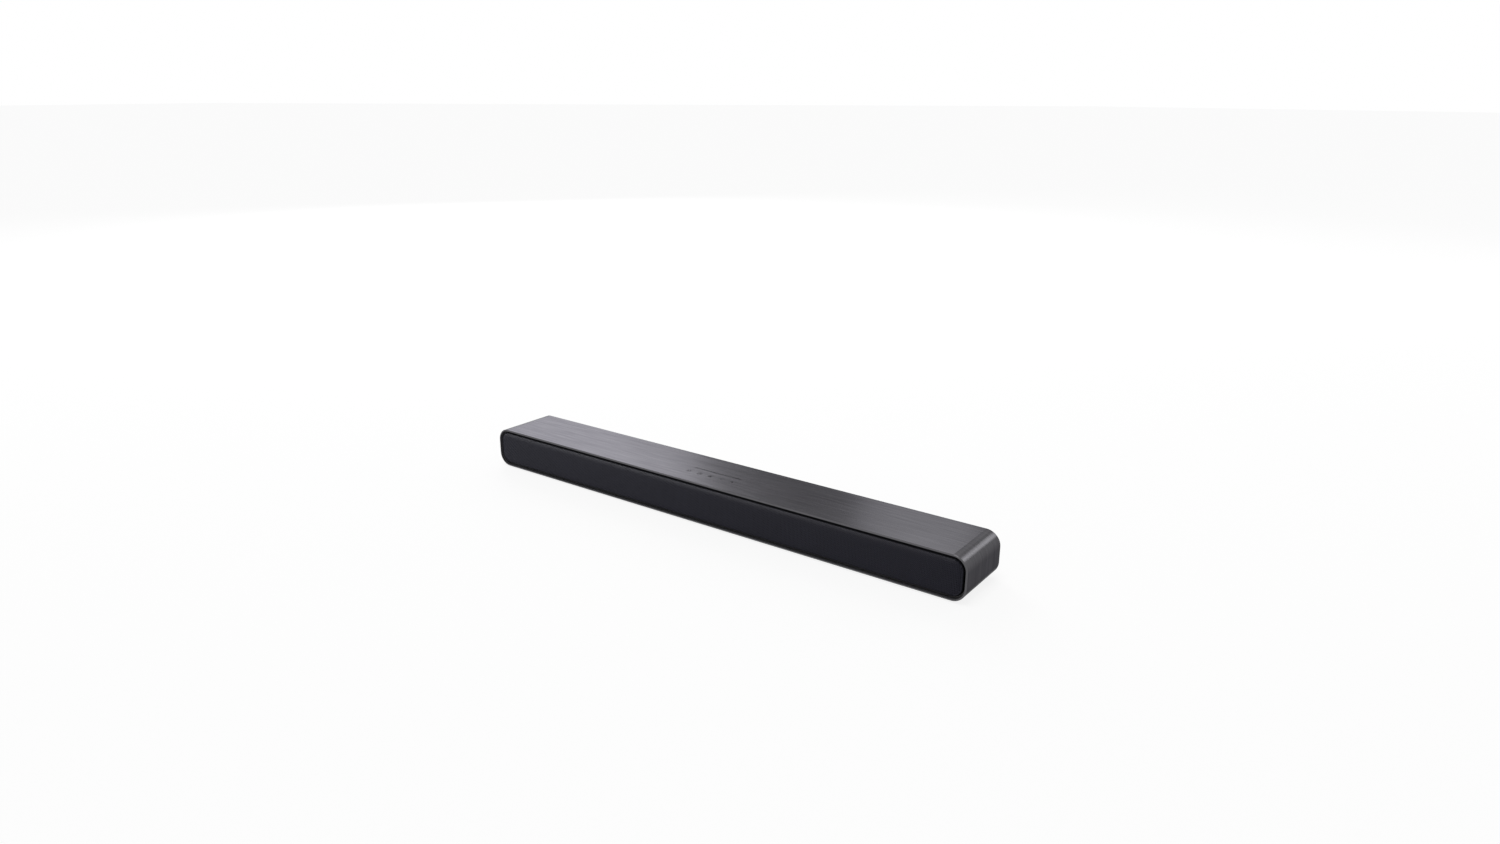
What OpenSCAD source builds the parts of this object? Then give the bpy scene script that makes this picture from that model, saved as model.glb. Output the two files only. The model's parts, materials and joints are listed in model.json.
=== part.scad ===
// A television soundbar: a brushed wrap-round sleeve with a perforated grille in front, a moulded
// cover behind, two oval woofers and two dome tweeters on a baffle, and the electronics between them.
// Millimetres. X runs along the bar, the front faces -Y, Z is up and z = 0 is what the feet stand on.

/* [Bar] */
// Length, end to end
bar_w = 810; // [780:5:1000]
// Depth, from the front rim to the rear edge
bar_d = 94; // [92:1:120]
// Height of the sleeve, without the feet
bar_h = 60; // [60:0.5:72]
// Outer radius of the sleeve's corners, seen from the front
corner_r = 19.5; // [17:0.5:23]

/* [Sleeve] */
// Wall of the sleeve
sleeve_wall = 2.2; // [1.8:0.1:2.6]
// Chamfer round the outside of the front rim
rim_chamfer = 0.7; // [0.3:0.1:1]
// How far the two inner ribs stand in from the wall
rib_h = 3; // [2:0.1:3.2]
// Thickness of the inner ribs
rib_t = 2; // [1.5:0.1:2.5]
// Length of the finger groove behind the keys
groove_l = 81; // [60:1:100]
// Width of the finger groove
groove_w = 1.2; // [0.8:0.1:2]
// Depth of the finger groove
groove_deep = 0.6; // [0.3:0.1:1]

/* [Keys] */
// Distance between neighbouring keys
key_pitch = 19; // [17:0.5:20]
// Radius of a key's round top
key_r = 4; // [3:0.1:4.5]
// How far the row of keys lies in front of the middle
key_row = 16.5; // [14:0.5:18]
// Gap round a key
key_gap = 0.25; // [0.2:0.05:0.4]
// How far the top of a key lies below the sleeve
key_sunk = 0.15; // [0.05:0.05:0.3]
// How far a key goes down when it is pressed
key_travel = 0.4; // [0.2:0.05:0.6]

/* [Grille] */
// Dark gap between the sleeve and the grille
gap_w = 3; // [2.4:0.1:3.6]
// How far behind the rim the floor of the gap lies
gap_deep = 5; // [4.5:0.1:6]
// Sheet the grille is pressed from
grille_sheet = 0.8; // [0.5:0.1:1]
// Width of the grille's rolled edge
grille_roll = 8; // [5:0.5:9]
// How far the rolled edge falls back from the flat
grille_crown = 3; // [2:0.1:3.2]
// Distance between neighbouring holes
hole_pitch = 6; // [5.5:0.5:12]
// Radius of a hole
hole_r = 2; // [1:0.1:2.2]

/* [Woofers] */
// Length of a woofer's flange
woofer_w = 100; // [90:1:110]
// Height of a woofer's flange
woofer_h = 47; // [44:0.5:47]
// Width of the rubber roll round the cone
roll_w = 6; // [5:0.2:7]
// Inner radius of the voice coil's former
coil_r = 10; // [8:0.5:10.5]
// Depth of the cone
cone_deep = 12; // [9:0.5:13]
// How far a cone moves each way
cone_travel = 2.5; // [1:0.1:3]
// Radius of the magnet
magnet_r = 18; // [17:0.5:18.5]
// Thickness of the magnet
magnet_t = 10; // [8:0.5:11]

/* [Tweeters] */
// Radius of a tweeter's faceplate
tweeter_r = 19; // [17:0.5:20]
// Radius of its dome
dome_r = 12.5; // [10:0.5:13]

/* [Baffle and speaker boxes] */
// Thickness of the baffle
baffle_t = 4; // [3.6:0.1:5]
// Length of a speaker box
box_w = 130; // [124:1:134]
// Wall of a speaker box
box_wall = 1.8; // [1.5:0.1:2]

/* [Rear] */
// Thickness of the rear cover
cover_t = 2.5; // [2:0.1:3]
// Depth of the two socket bays
bay_deep = 20; // [18:0.5:22]
// Height of the two socket bays
bay_h = 24; // [22:0.5:25]
// Length of the signal bay
signal_w = 104; // [100:1:110]
// Length of the mains bay
mains_w = 46; // [40:1:50]
// Distance between the two wall mounting inserts
mount_pitch = 500; // [480:5:560]
// Bore of a wall mounting insert, the tapping size for an M4 screw
insert_r = 1.65; // [1.6:0.05:2]

/* [Feet] */
// How far the feet hold the sleeve off the surface
foot_h = 2; // [1.5:0.1:4]
// Length of a foot
foot_w = 60; // [40:1:80]
// Distance between the feet's centres along the bar
foot_pitch = 600; // [500:10:660]

/* [Hidden] */
$fn = 48;

SIDES = ["left", "right"];
KEYS = ["key_power", "key_source", "key_pairing", "key_volume_down", "key_volume_up"];

// Places shared by several pieces
play = 0.3;                              // clearance round a piece that slips into another
front_y = -bar_d / 2;
rear_y = bar_d / 2;
top_z = foot_h + bar_h;
mid_z = foot_h + bar_h / 2;
floor_z = foot_h + sleeve_wall;          // inside face of the sleeve's underside
ceiling_z = top_z - sleeve_wall;         // inside face of its top

// Baffle, counted inwards from the sleeve's outer face and backwards from its rim
liner_in = sleeve_wall + play;           // outside of the baffle's and the cover's edge walls
liner_t = 2;
baffle_y = front_y + 10;                 // the baffle's front face
baffle_back = baffle_y + baffle_t;
rebate = 2;                              // depth of the seat for a driver's flange
flange_t = 1.2;
gasket_t = rebate - flange_t;

// Grille
grille_in = sleeve_wall + gap_w;         // the grille's outer edge
grille_y = front_y + 0.3;                // its flat face, just inside the rim
roll_y = grille_y + grille_crown;        // where the rolled edge turns into the skirt
skirt = 4;
grille_frame_in = grille_in + grille_sheet + 0.2;
grille_frame_t = 1.8;
scrim_t = 0.4;
peg_r = 1.8;
peg_deep = 3;
peg_zs = [-1, 1];

// Drivers, by the end of the bar that they stand at
post_r = 4;
tab_w = 6;                               // screw tabs at the ends of a speaker box
end_post = 17;                           // the last screw post stands in from the end by this
tweeter_x = bar_w / 2 - end_post - post_r - tweeter_r - 7;
woofer_x = tweeter_x - tweeter_r - (box_w + tab_w) / 2 - 1;
inner_post = woofer_x - box_w / 2 - 9;
tweeter_rear = 17;
ledge = 1.5;                             // depth of the seat that the dome's roll is glued to
dome_floor = 3;
dome_bend = 20;
dome_coil_r = dome_r - 1.6;
dome_silk = 0.25;
dome_roll_mid = dome_r - 0.2;
dome_roll_r = 0.45;
lip_w = 3;                               // flat of the flange outside the rubber roll
lip_glued = 1.2;                         // how much of that flat the roll's edge is glued to
flange_r = 8;                            // corner of the flange
ear = 6;                                 // a flange screw stands in from both edges by this
bowl_w = woofer_w - 10;                  // basket behind the flange
bowl_h = woofer_h - 10;
peg_xs = [for (s = [-1, 1], x = [90, woofer_x - woofer_w / 2 - 7, woofer_x + woofer_w / 2 + 7]) s * x];
cone_w = woofer_w - 2 * (lip_w + roll_w);
cone_h = woofer_h - 2 * (lip_w + roll_w);
roll_r = roll_w / 2;
rubber_t = 0.5;
cone_t = 0.8;
former_t = 0.4;
winding_t = 0.5;
plate_t = 4;                             // steel plate in front of the magnet
coil_gap = 0.6;                          // air on each side of the coil
basket_t = 1.2;
basket_deep = cone_deep + 10;
landing_r = magnet_r - 1.2;              // the spider is glued to the basket out to here
spider_y = baffle_y + cone_deep + 4;
basket_back = baffle_y + basket_deep;
plate_hole_r = coil_r + former_t + winding_t + coil_gap;
pole_r = coil_r - coil_gap;

// Speaker boxes
box_h = bar_h - 2 * (sleeve_wall + rib_h) - 0.6;
box_back = rear_y - 27;
tab_t = 2.5;
box_screw = baffle_t + tab_t - rebate - 0.5;   // ends short of the tweeter's seat

// Screw posts between the baffle and the rear cover, as [x, height above the middle]
cup_r = 5.5;
meet_y = rear_y - 24;
post_spots = [for (s = [-1, 1]) each [
    [s * (bar_w / 2 - end_post), 0],
    [s * inner_post, 17],
    [s * inner_post, -17],
    [s * 90, bar_h / 2 - 12]]];

// Rear cover and its bays
cover_y = rear_y - 0.5;                  // rear face of the cover
liner_deep = 8;
cover_rib_pitch = 60;
cover_rib_h = 3;
cover_rib_t = 1.4;
bay_wall = 2;
bay_y = rear_y - bay_deep;               // floor of the bays, seen from behind
bay_z = foot_h + 12 + bay_h / 2;         // middle of the bays
plate_1 = 1.5;                           // socket plate's thickness

// Boards
pcb_t = 1.6;
tray_t = 1.2;
tray_z = floor_z + play;
board_z = bay_z - bay_h / 2 + 3;         // top face of the power and main boards
board_y0 = front_y + 20;
board_y1 = bay_y - bay_wall - 0.4;
power_w = 110;
main_w = 174;
boards_w = power_w + main_w + 10;        // both boards and the gap between them
power_x = [-boards_w / 2, power_w - boards_w / 2];
main_x = [boards_w / 2 - main_w, boards_w / 2];
mains_x = power_x[0] + 44;
slot_w = 2;                              // cooling slots between the bays
slot_h = 14;
slot_pitch = 5.5;
signal_x = main_x[1] - signal_w / 2 - 4;
bay_gap = [mains_x + mains_w / 2 + bay_wall, signal_x - signal_w / 2 - bay_wall];
slots_x = (bay_gap[0] + bay_gap[1]) / 2;
slots = floor((bay_gap[1] - bay_gap[0] - 24) / slot_pitch);
sink = [44, 14, 16];
lead_r = 1.2;
lead_y = 16;
lead_z = board_z + 17;
chip_t = 1.4;
standoff_r = 2.6;
screw_r = 1.2;
standoff_spots = [for (x = [main_x[0] + 5, main_x[1] - 5, power_x[0] + 5, power_x[1] - 5])
    for (y = [board_y0 + 5, board_y1 - 16]) [x, y]];

// Keys and their board
key_flange_r = key_r + 1.6;
key_flange_t = 1;
key_stem_r = 1.5;
key_stem = 2.4;
switch_w = 6;
switch_h = 3.4;
well_deep = key_travel + 0.9;
key_xs = [for (i = [-2 : 2]) i * key_pitch];
switch_top = ceiling_z - 0.2 - key_flange_t - key_stem + 0.4;
key_pcb_t = 1.2;
key_pcb_z = switch_top - switch_h;       // top face of the key board
key_boss_x = 2 * key_pitch + 10;
key_boss_r = 2.8;

// ---------------------------------------------------------------- shapes used by several pieces

// Turns a drawing in X and Y upright, so that its Y points up and its Z points to the rear
module upright() rotate([90, 0, 0]) mirror([0, 0, 1]) children();

// A slab from y0 back to y1 with the outline of the children, drawn in X and Z about the bar's middle
module slab(y0, y1) translate([0, 0, mid_z]) upright() translate([0, 0, y0]) linear_extrude(y1 - y0)
    children();

// A round bar or hole along Y
module rod(x, z, r, y0, y1) translate([x, y0, z]) upright() cylinder(h = y1 - y0, r = r);

module round_rect(w, h, r) {
    square([w - 2 * r, h], center = true);
    square([w, h - 2 * r], center = true);
    for (x = [-1, 1], y = [-1, 1]) translate([x * (w / 2 - r), y * (h / 2 - r)]) circle(r);
}

module stadium(w, h) {
    square([w - h, h], center = true);
    for (x = [-1, 1]) translate([x * (w - h) / 2, 0]) circle(h / 2);
}

// The sleeve's outline, moved inwards
module outline(inwards) round_rect(bar_w - 2 * inwards, bar_h - 2 * inwards, corner_r - inwards);

// Carries a profile round a rounded rectangle: the profile's X points outwards, its Y to the rear
module carry_round(w, h, r) {
    for (side = [0 : 3]) {
        run = (side % 2 == 0 ? w : h) - 2 * r;
        reach = (side % 2 == 0 ? h : w) / 2;
        across = (side % 2 == 0 ? w : h) / 2;
        if (run > 0.01) rotate(side * 90) translate([-run / 2, reach, 0]) rotate([90, 0, 90])
            linear_extrude(run) children();
        rotate(side * 90) translate([across - r, reach - r, 0]) rotate_extrude(angle = 90)
            translate([r, 0]) children();
    }
}

module round_the_bar(inwards) translate([0, 0, mid_z]) upright()
    carry_round(bar_w - 2 * inwards, bar_h - 2 * inwards, corner_r - inwards) children();

// Puts a driver's piece at the left (-1) or right (1) end
module at_woofer(s) translate([s * woofer_x, 0, 0]) children();
module at_tweeter(s) translate([s * tweeter_x, 0, 0]) children();

// A thin dish whose rim is a stadium w by h and whose neck is a circle.
// t runs from the rim (0) to the neck (1)
function dish_ring(w, h, neck_r, t, grow, y, n) = let (half = (w - h) / 2 * (1 - t),
    r = h / 2 + (neck_r - h / 2) * t + grow) [for (i = [0 : n - 1]) let (a = 360 * (i + 0.5) / n)
    [r * cos(a) + sign(cos(a)) * half, r * sin(a), y]];
function quad(a, b, c, d) = [[a, b, c], [a, c, d]];
module dish(w, h, neck_r, deep, wall, n = 40, steps = 4) {
    turn = [for (i = [0 : steps]) i / steps];
    fall = [for (t = turn) deep * sin(90 * t)];     // steep at the rim, flat at the neck
    inside = [for (i = [0 : steps]) each dish_ring(w, h, neck_r, turn[i], 0, fall[i], n)];
    outside = [for (i = [0 : steps])
        each dish_ring(w, h, neck_r, turn[i], wall, fall[i] + wall * turn[i], n)];
    m = len(inside);
    faces = [for (k = [0 : n - 1]) let (j = (k + 1) % n) each concat(
        [for (i = [0 : steps - 1]) each quad(i * n + k, i * n + j, (i + 1) * n + j, (i + 1) * n + k)],
        [for (i = [0 : steps - 1])
            each quad(m + i * n + j, m + i * n + k, m + (i + 1) * n + k, m + (i + 1) * n + j)],
        quad(j, k, m + k, m + j),
        quad(steps * n + k, steps * n + j, m + steps * n + j, m + steps * n + k))];
    polyhedron(concat(inside, outside), faces, convexity = 6);
}

// A pan-head screw along Y, head at the rear, with its head's seat at y
module screw_y(x, y, z, r, head_r, length) {
    rod(x, z, head_r, y, y + head_r * 0.8);
    rod(x, z, r, y - length, y);
}

// ---------------------------------------------------------------- sleeve, keys and feet

module sleeve() color("#6c6c73") difference() {
    union() {
        round_the_bar(0) polygon([[-rim_chamfer, front_y], [0, front_y + rim_chamfer], [0, rear_y],
            [-sleeve_wall, rear_y], [-sleeve_wall, front_y]]);
        for (y = [baffle_back, rear_y - liner_deep - rib_t])
            round_the_bar(sleeve_wall) translate([-rib_h, y]) square([rib_h, rib_t]);
        for (s = [-1, 1]) translate([s * key_boss_x, -key_row, key_pcb_z])
            cylinder(h = ceiling_z - key_pcb_z, r = key_boss_r);
    }
    for (x = key_xs) translate([x, -key_row, ceiling_z - 1])
        cylinder(h = sleeve_wall + 2, r = key_r + key_gap);
    for (s = [-1, 1]) translate([s * key_boss_x, -key_row, key_pcb_z - 1]) cylinder(h = 5, r = screw_r);
    translate([0, 0, top_z - groove_deep]) linear_extrude(2) stadium(groove_l, groove_w);
    for (x = [-1, 1], y = [-1, 1]) foot_at(x, y, foot_sink + 1) foot_outline(0.1);
}

foot_d = 10;
foot_sink = 0.8;                         // depth of a foot's pocket in the sleeve
module foot_at(x, y, h) translate([x * foot_pitch / 2, y * (bar_d / 2 - 16), foot_h + foot_sink - h])
    linear_extrude(h) children();
module foot_outline(grow) stadium(foot_w + 2 * grow, foot_d + 2 * grow);

module rubber_feet() color("#1b1b1d") for (x = [-1, 1], y = [-1, 1])
    foot_at(x, y, foot_h + foot_sink) foot_outline(0);

module key(i) color("#6c6c73") translate([key_xs[i], -key_row, 0]) {
    under = ceiling_z - 0.2 - key_flange_t;
    translate([0, 0, under]) cylinder(h = top_z - key_sunk - under, r = key_r);
    translate([0, 0, under]) cylinder(h = key_flange_t, r = key_flange_r);
    translate([0, 0, under - key_stem]) cylinder(h = key_stem, r = key_stem_r);
}

module key_board() color("#1f5c38") translate([0, -key_row, key_pcb_z - key_pcb_t]) difference() {
    linear_extrude(key_pcb_t) square([2 * key_boss_x + 9, 20], center = true);
    for (s = [-1, 1]) translate([s * key_boss_x, 0, -1]) cylinder(h = 4, r = screw_r + 0.2);
}

module key_switches() color("#2c2c30") for (x = key_xs) translate([x, -key_row, key_pcb_z]) difference() {
    linear_extrude(switch_h) square(switch_w, center = true);
    translate([0, 0, switch_h - well_deep]) cylinder(h = well_deep + 1, r = key_stem_r + 0.4);
}

module key_board_screws() color("silver") for (s = [-1, 1])
    translate([s * key_boss_x, -key_row, key_pcb_z - key_pcb_t]) {
        translate([0, 0, -1.4]) cylinder(h = 1.4, r = 2.2);
        cylinder(h = key_pcb_t + 3.5, r = screw_r - 0.05);
    }

// ---------------------------------------------------------------- grille

// The rolled edge and skirt of the grille: a quarter of an ellipse, then straight back
function rolled(roll, crown, steps = 6) = [for (i = [0 : steps])
    [-grille_roll + roll * cos(90 * i / steps), roll_y - crown * sin(90 * i / steps)]];
module grille() color("#2b2b30") {
    inner = rolled(grille_roll - grille_sheet, grille_crown - grille_sheet);
    round_the_bar(grille_in) polygon(concat([[0, roll_y + skirt]], rolled(grille_roll, grille_crown),
        [for (i = [len(inner) - 1 : -1 : 0]) inner[i]], [[-grille_sheet, roll_y + skirt]]));
    slab(grille_y, grille_y + grille_sheet) difference() {
        outline(grille_in + grille_roll);
        hole_field();
    }
}
// Staggered rows over the whole flat
module hole_field() {
    row_step = hole_pitch * sqrt(3) / 2;
    rows = floor((bar_h - 2 * (grille_in + grille_roll + hole_r) - 1) / row_step);
    columns = floor((bar_w - 2 * (grille_in + grille_roll + hole_r) - 8) / hole_pitch);
    for (row = [0 : rows]) {
        holes = columns - row % 2;
        for (k = [0 : holes]) translate([(k - holes / 2) * hole_pitch, (row - rows / 2) * row_step])
            circle(hole_r, $fn = 16);
    }
}

// Two vertical ribs between the pegs keep the frame from bowing
module grille_frame() color("#17171a") {
    difference() {
        slab(roll_y + scrim_t, baffle_y - 0.1) outline(grille_frame_in);
        slab(roll_y, baffle_y) outline(grille_frame_in + grille_frame_t);
    }
    for (x = peg_xs, z = peg_zs) {
        height = bar_h / 2 - grille_frame_in - 2.2;
        rod(x, mid_z + z * height, peg_r, baffle_y - 4, baffle_y + peg_deep);
    }
    for (s = [-1, 1]) slab(roll_y + scrim_t, roll_y + scrim_t + 2)
        translate([s * (woofer_x - woofer_w / 2 - 12), 0])
            square([2, bar_h - 2 * grille_frame_in - 1], center = true);
}

module grille_scrim() color("#0e0e10") slab(roll_y, roll_y + scrim_t) outline(grille_frame_in + 0.2);

// ---------------------------------------------------------------- baffle and display

module baffle() color("#141416") difference() {
    union() {
        slab(front_y + gap_deep, baffle_back) outline(liner_in);
        for (p = post_spots) rod(p[0], mid_z + p[1], post_r, baffle_back - 1, meet_y);
    }
    slab(front_y, baffle_y) outline(liner_in + liner_t);
    for (s = [-1, 1]) {
        slab(baffle_y - 1, baffle_y + rebate) translate([s * woofer_x, 0])
            round_rect(woofer_w + 0.4, woofer_h + 0.4, flange_r + 0.2);
        slab(baffle_y - 1, baffle_back + 1) translate([s * woofer_x, 0]) stadium(woofer_w - 8, woofer_h - 8);
        rod(s * tweeter_x, mid_z, tweeter_r + 0.2, baffle_y - 1, baffle_y + rebate);
        rod(s * tweeter_x, mid_z, tweeter_r - 3, baffle_y - 1, baffle_back + 1);
        for (h = driver_holes(s)) rod(h[0], h[1], screw_r, baffle_y - 1, baffle_back + 1);
        for (t = [-1, 1]) rod(s * (woofer_x + t * (box_w / 2 + tab_w / 2)), mid_z,
            screw_r, baffle_y + rebate + 0.2, baffle_back + 1);
    }
    for (x = peg_xs, z = peg_zs)
        rod(x, mid_z + z * (bar_h / 2 - grille_frame_in - 2.2), peg_r + 0.2,
            baffle_y - 1, baffle_y + peg_deep + 0.4);
    slab(baffle_y - 1, baffle_back + 1) square([lens_w + 0.4, lens_h + 0.4], center = true);
    for (p = post_spots) rod(p[0], mid_z + p[1], screw_r, meet_y - 14, meet_y + 1);
}

lens_w = 60;
lens_h = 14;
module display_lens() color("#26262c") {
    slab(baffle_y + 1, baffle_back) square([lens_w, lens_h], center = true);
    slab(baffle_back, baffle_back + 1) square([lens_w + 8, lens_h + 6], center = true);
}

module display_board() color("#1f5c38") {
    slab(baffle_back + 4, baffle_back + 4 + pcb_t) square([lens_w + 10, 24], center = true);
    slab(baffle_back + 1.2, baffle_back + 4) translate([-8, 0]) square([34, 10], center = true);
    slab(baffle_back + 1.2, baffle_back + 4) translate([22, 0]) square([7, 8], center = true);
}

// ---------------------------------------------------------------- drivers

// Screws of one side's drivers: four round the woofer, three round the tweeter
function driver_holes(s) = concat(
    [for (x = [-1, 1], z = [-1, 1])
        [s * woofer_x + x * (woofer_w / 2 - ear), mid_z + z * (woofer_h / 2 - ear)]],
    [for (a = [90, 210, 330]) [s * tweeter_x + (tweeter_r - 2) * cos(a), mid_z + (tweeter_r - 2) * sin(a)]]);

module flange_ring(inner_w, inner_h, y0, y1) difference() {
    slab(y0, y1) round_rect(woofer_w, woofer_h, flange_r);
    slab(y0 - 1, y1 + 1) stadium(inner_w, inner_h);
}

// Stamped basket: flange, an open-sided bowl, the spider's ledge and the seat of the magnet
module woofer_basket(s) color("#3a3a3e") at_woofer(s) difference() {
    ledge_y = spider_y + 0.6;
    collar_y = baffle_y + cone_travel + 1;   // straight wall beside the cone's whole stroke
    union() {
        difference() {
            slab(baffle_y + 0.3, collar_y) stadium(bowl_w, bowl_h);
            slab(baffle_y, collar_y + 1) stadium(bowl_w - 2 * basket_t, bowl_h - 2 * basket_t);
        }
        flange_ring(bowl_w - 1, bowl_h - 1, baffle_y, baffle_y + flange_t);
        translate([0, collar_y - 0.5, mid_z]) upright()
            dish(bowl_w - 2 * basket_t - 0.2, bowl_h - 2 * basket_t - 0.2, landing_r + 0.3,
                ledge_y + 0.8 - collar_y, basket_t);
        difference() {
            rod(0, mid_z, magnet_r, ledge_y, basket_back);
            rod(0, mid_z, landing_r - 2, ledge_y - 1, basket_back - basket_t);
            rod(0, mid_z, plate_hole_r + 0.5, ledge_y, basket_back + 1);
        }
    }
    for (x = [-1, 1]) translate([x * 27 - 6, collar_y + 0.6, mid_z - 30])
        cube([12, ledge_y - collar_y - 1.6, 60]);
    for (h = driver_holes(s)) rod(h[0] - s * woofer_x, h[1], screw_r + 0.2, baffle_y - 1, baffle_y + 3);
}

module woofer_gasket(s) color("#101012") at_woofer(s) difference() {
    flange_ring(woofer_w - 8, woofer_h - 8, baffle_y + flange_t, baffle_y + rebate);
    for (h = driver_holes(s)) rod(h[0] - s * woofer_x, h[1], screw_r + 0.2, baffle_y - 1, baffle_y + 3);
}

module woofer_magnet(s) color("#4a4a4e") at_woofer(s) {
    difference() {
        rod(0, mid_z, magnet_r - 1, basket_back, basket_back + plate_t);
        rod(0, mid_z, plate_hole_r, basket_back - 1, basket_back + plate_t + 1);
    }
    difference() {
        rod(0, mid_z, magnet_r, basket_back + plate_t, basket_back + plate_t + magnet_t);
        rod(0, mid_z, plate_hole_r + 1.5, basket_back, basket_back + plate_t + magnet_t + 1);
    }
}

module woofer_yoke(s) color("silver") at_woofer(s) {
    rod(0, mid_z, magnet_r - 0.5, basket_back + plate_t + magnet_t,
        basket_back + plate_t + magnet_t + plate_t);
    rod(0, mid_z, pole_r, basket_back, basket_back + plate_t + magnet_t + 1);
}

// Corrugated spider, from the former out to the basket's landing
module woofer_spider(s) color("#b5843a") at_woofer(s) translate([0, spider_y, mid_z]) upright() {
    inner = coil_r + former_t + 0.05;
    waves = 2;
    n = 36;
    line = [for (i = [0 : n]) [inner + (landing_r - inner) * i / n, 0.5 * sin(360 * waves * i / n)]];
    rotate_extrude() polygon(concat([for (p = line) [p[0], p[1] - 0.2]],
        [for (i = [n : -1 : 0]) [line[i][0], line[i][1] + 0.2]]));
}

// Half-round rubber roll with a lip on the basket and a lip on the cone
module woofer_surround(s) color("#19191b") at_woofer(s) translate([0, 0, mid_z]) upright()
    carry_round(cone_w + 2 * roll_w, cone_h + 2 * roll_w, cone_h / 2 + roll_w) translate([0, baffle_y]) {
        difference() {
            translate([-roll_r, 0]) circle(roll_r);
            translate([-roll_r, 0]) circle(roll_r - rubber_t);
            translate([-roll_w - 1, 0]) square([roll_w + 2, roll_r + 1]);
        }
        translate([-rubber_t, -rubber_t]) square([lip_glued + rubber_t, rubber_t]);
        translate([-roll_w - 2, -rubber_t]) square([2 + rubber_t, rubber_t]);
    }

// Paper cone with a domed dust cap over its neck
module woofer_cone(s) color("#232326") at_woofer(s) translate([0, baffle_y, mid_z]) upright() {
    cap_r = coil_r + former_t + 0.6;
    bend = 14;                           // radius of the cap's dome
    dish(cone_w, cone_h, coil_r + former_t, cone_deep, cone_t);
    translate([0, 0, cone_deep]) rotate_extrude() difference() {
        translate([0, sqrt(bend * bend - cap_r * cap_r)]) circle(bend);
        translate([0, sqrt(bend * bend - cap_r * cap_r)]) circle(bend - 0.5);
        translate([0, 0.4]) square([40, 40]);
        translate([-40, -40]) square([40, 80]);
    }
}

module voice_coil(s) color("#b4662f") at_woofer(s) {
    neck = baffle_y + cone_deep + cone_t;
    difference() {
        union() {
            rod(0, mid_z, coil_r + former_t, neck, basket_back + plate_t + 4);
            rod(0, mid_z, coil_r + former_t + winding_t, basket_back - 1, basket_back + plate_t + 2);
        }
        rod(0, mid_z, coil_r, neck - 1, basket_back + plate_t + 5);
    }
}

// Faceplate and motor of a tweeter. The dome's roll is glued to a ledge in its front, and the coil
// under the dome runs in a ring-shaped gap
module tweeter(s) color("#202024") at_tweeter(s) difference() {
    union() {
        rod(0, mid_z, tweeter_r, baffle_y, baffle_y + rebate);
        rod(0, mid_z, tweeter_r - 3.4, baffle_y + rebate, baffle_y + tweeter_rear);
    }
    rod(0, mid_z, dome_r + 1.2, baffle_y - 1, baffle_y + ledge);
    rod(0, mid_z, dome_r + 0.1, baffle_y - 1, baffle_y + dome_floor);
    difference() {
        rod(0, mid_z, dome_coil_r + 0.4, baffle_y, baffle_y + dome_floor + 3.4);
        rod(0, mid_z, dome_coil_r - 0.8, baffle_y, baffle_y + dome_floor + 4);
    }
    for (h = driver_holes(s)) rod(h[0] - s * tweeter_x, h[1], screw_r + 0.2, baffle_y - 1, baffle_y + 3);
}

// Silk dome with the flat rim that its roll is glued to and its coil
module tweeter_dome(s) color("#3b3b40") at_tweeter(s) translate([0, baffle_y + dome_floor, mid_z]) upright()
    rotate_extrude() {
        difference() {
            intersection() {
                translate([0, dome_bend - 5]) circle(dome_bend);
                translate([0, -5]) square([dome_coil_r, 5]);
            }
            translate([0, dome_bend - 5]) circle(dome_bend - 0.5);
        }
        translate([dome_coil_r - 0.5, ledge - dome_floor]) square([1.5, 0.4]);
        translate([dome_coil_r - 0.4, ledge - dome_floor + 0.2]) square([0.4, 4]);
    }

// Narrow half roll between the dome's rim and the ledge
module tweeter_roll(s) color("#2c2c30") at_tweeter(s) translate([0, baffle_y + ledge, mid_z]) upright()
    rotate_extrude() {
        translate([dome_coil_r + 0.4, -dome_silk]) square([0.75, dome_silk]);
        translate([dome_r + 0.15, -dome_silk]) square([0.85, dome_silk]);
        difference() {
            translate([dome_roll_mid, 0]) circle(dome_roll_r);
            translate([dome_roll_mid, 0]) circle(dome_roll_r - dome_silk);
            translate([dome_roll_mid - 2, 0]) square([4, 2]);
        }
    }

module driver_screws() color("silver") for (s = [-1, 1], h = driver_holes(s)) {
    rod(h[0], h[1], 2, baffle_y - 1.2, baffle_y);
    rod(h[0], h[1], screw_r - 0.05, baffle_y - 0.5, baffle_back + 2);
}

// Closed box behind each woofer, screwed to the baffle by two side tabs
module speaker_box(s) color("#2a2a2e") at_woofer(s) difference() {
    union() {
        slab(baffle_back, box_back) round_rect(box_w, box_h, 4);
        slab(baffle_back, baffle_back + tab_t) square([box_w + 2 * tab_w, 12], center = true);
    }
    slab(baffle_back - 1, box_back - box_wall)
        round_rect(box_w - 2 * box_wall, box_h - 2 * box_wall, 4 - box_wall);
    for (t = [-1, 1]) rod(t * (box_w / 2 + tab_w / 2), mid_z,
        screw_r + 0.2, baffle_back - 1, baffle_back + 4);
}

module box_screws() color("silver") for (s = [-1, 1], t = [-1, 1])
    screw_y(s * (woofer_x + t * (box_w / 2 + tab_w / 2)), baffle_back + tab_t,
        mid_z, screw_r - 0.05, 2, box_screw);

// ---------------------------------------------------------------- electronics

module between(xs, y0, y1, z0, z1) translate([xs[0], y0, z0]) cube([xs[1] - xs[0], y1 - y0, z1 - z0]);

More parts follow.
